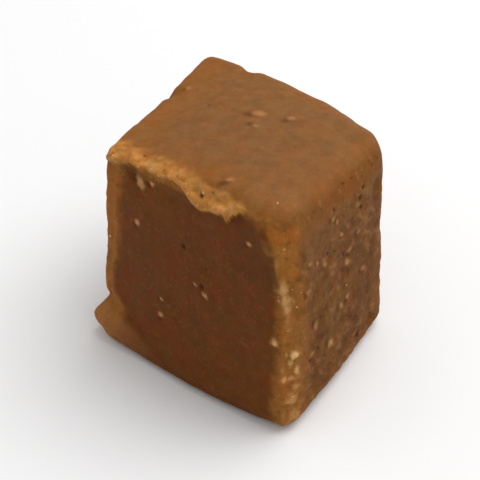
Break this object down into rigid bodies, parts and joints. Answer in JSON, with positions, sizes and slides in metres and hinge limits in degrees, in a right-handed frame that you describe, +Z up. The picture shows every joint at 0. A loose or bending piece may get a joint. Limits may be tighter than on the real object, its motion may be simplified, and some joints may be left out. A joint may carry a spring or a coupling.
{
  "type": "caramel candy",
  "caption": "Uneven hand-cut cube of soft caramel fudge, with a ragged lip over the knife-cut front side and crumbly edges. Rests flat.",
  "frame": {"origin": "middle of the base, on the surface that the candy rests on", "axes": "+Z up; -Y towards the knife-cut front side; +X to the right of someone who looks at the front side"},
  "size_m": [0.0244, 0.0226, 0.0234],
  "materials": {
    "fudge": "matte brown caramel fudge with a fine grain, paler and more orange along its worn and torn edges"
  },
  "bodies": {
    "root": {"caramel": "fudge"}
  },
  "joints": []
}
